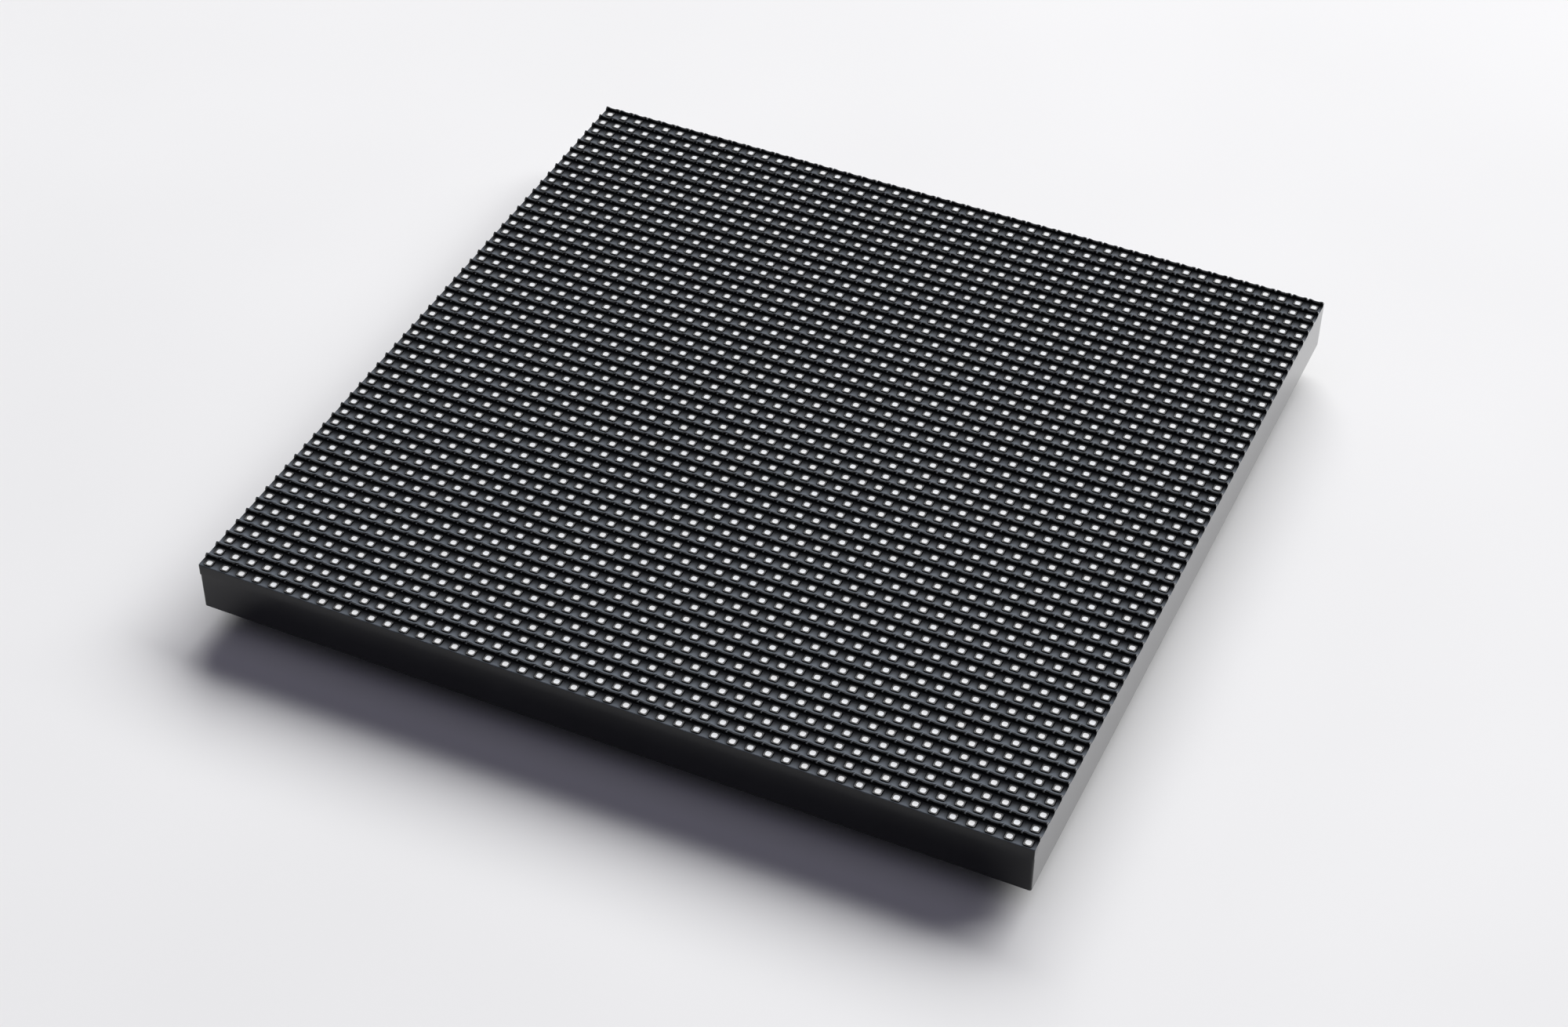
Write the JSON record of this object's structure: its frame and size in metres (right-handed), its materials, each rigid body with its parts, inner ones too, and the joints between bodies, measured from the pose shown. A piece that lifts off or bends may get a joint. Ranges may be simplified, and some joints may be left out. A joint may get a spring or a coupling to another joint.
{
  "type": "led display panel",
  "caption": "Square outdoor LED display module: surface-mount LEDs in a black louvred mask on a circuit board, with a sealed rear cover carrying threaded posts, data headers and a power header.",
  "frame": {"origin": "on the plane of the rear mounting posts' ends, under the middle of the module's outline", "axes": "+Z out of the display face, +Y towards the top of the picture (the louvres stand above each row of LEDs on its +Y side), +X along the rows to the right"},
  "size_m": [0.1918, 0.1918, 0.0194],
  "materials": {
    "mask_black": "finely textured moulded polycarbonate, satin",
    "led_resin": "pale diffusing epoxy in the package",
    "board_laminate": "solder-masked glass-epoxy board",
    "cover_black": "spark-eroded moulded plastic, satin",
    "silicone_grey": "matte silicone",
    "insert_brass": "turned, knurled",
    "screw_steel": "zinc plated",
    "header_black": "moulded connector plastic",
    "header_ivory": "natural nylon",
    "pin_gold": "gold flashed",
    "pin_tin": "tin plated",
    "chip_epoxy": "moulded epoxy package",
    "can_aluminium": "drawn can, satin",
    "capacitor_ceramic": "fired ceramic chip",
    "resistor_film": "glazed chip"
  },
  "bodies": {
    "root": {"louvre_mask": "mask_black", "leds_left": "led_resin", "leds_right": "led_resin", "led_board": "board_laminate", "rear_cover": "cover_black", "rear_gasket": "silicone_grey", "threaded_inserts": "insert_brass", "assembly_screws": "screw_steel", "data_header_in": "header_black", "data_header_out": "header_black", "data_pins": "pin_gold", "power_header": "header_ivory", "power_pins": "pin_tin", "connector_seals": "silicone_grey", "driver_ics": "chip_epoxy", "row_switches": "chip_epoxy", "signal_buffers": "chip_epoxy", "row_decoders": "chip_epoxy", "bulk_capacitors": "can_aluminium", "capacitor_bases": "header_black", "ceramic_capacitors": "capacitor_ceramic", "set_resistors": "resistor_film", "resistor_networks": "resistor_film"}
  },
  "joints": []
}
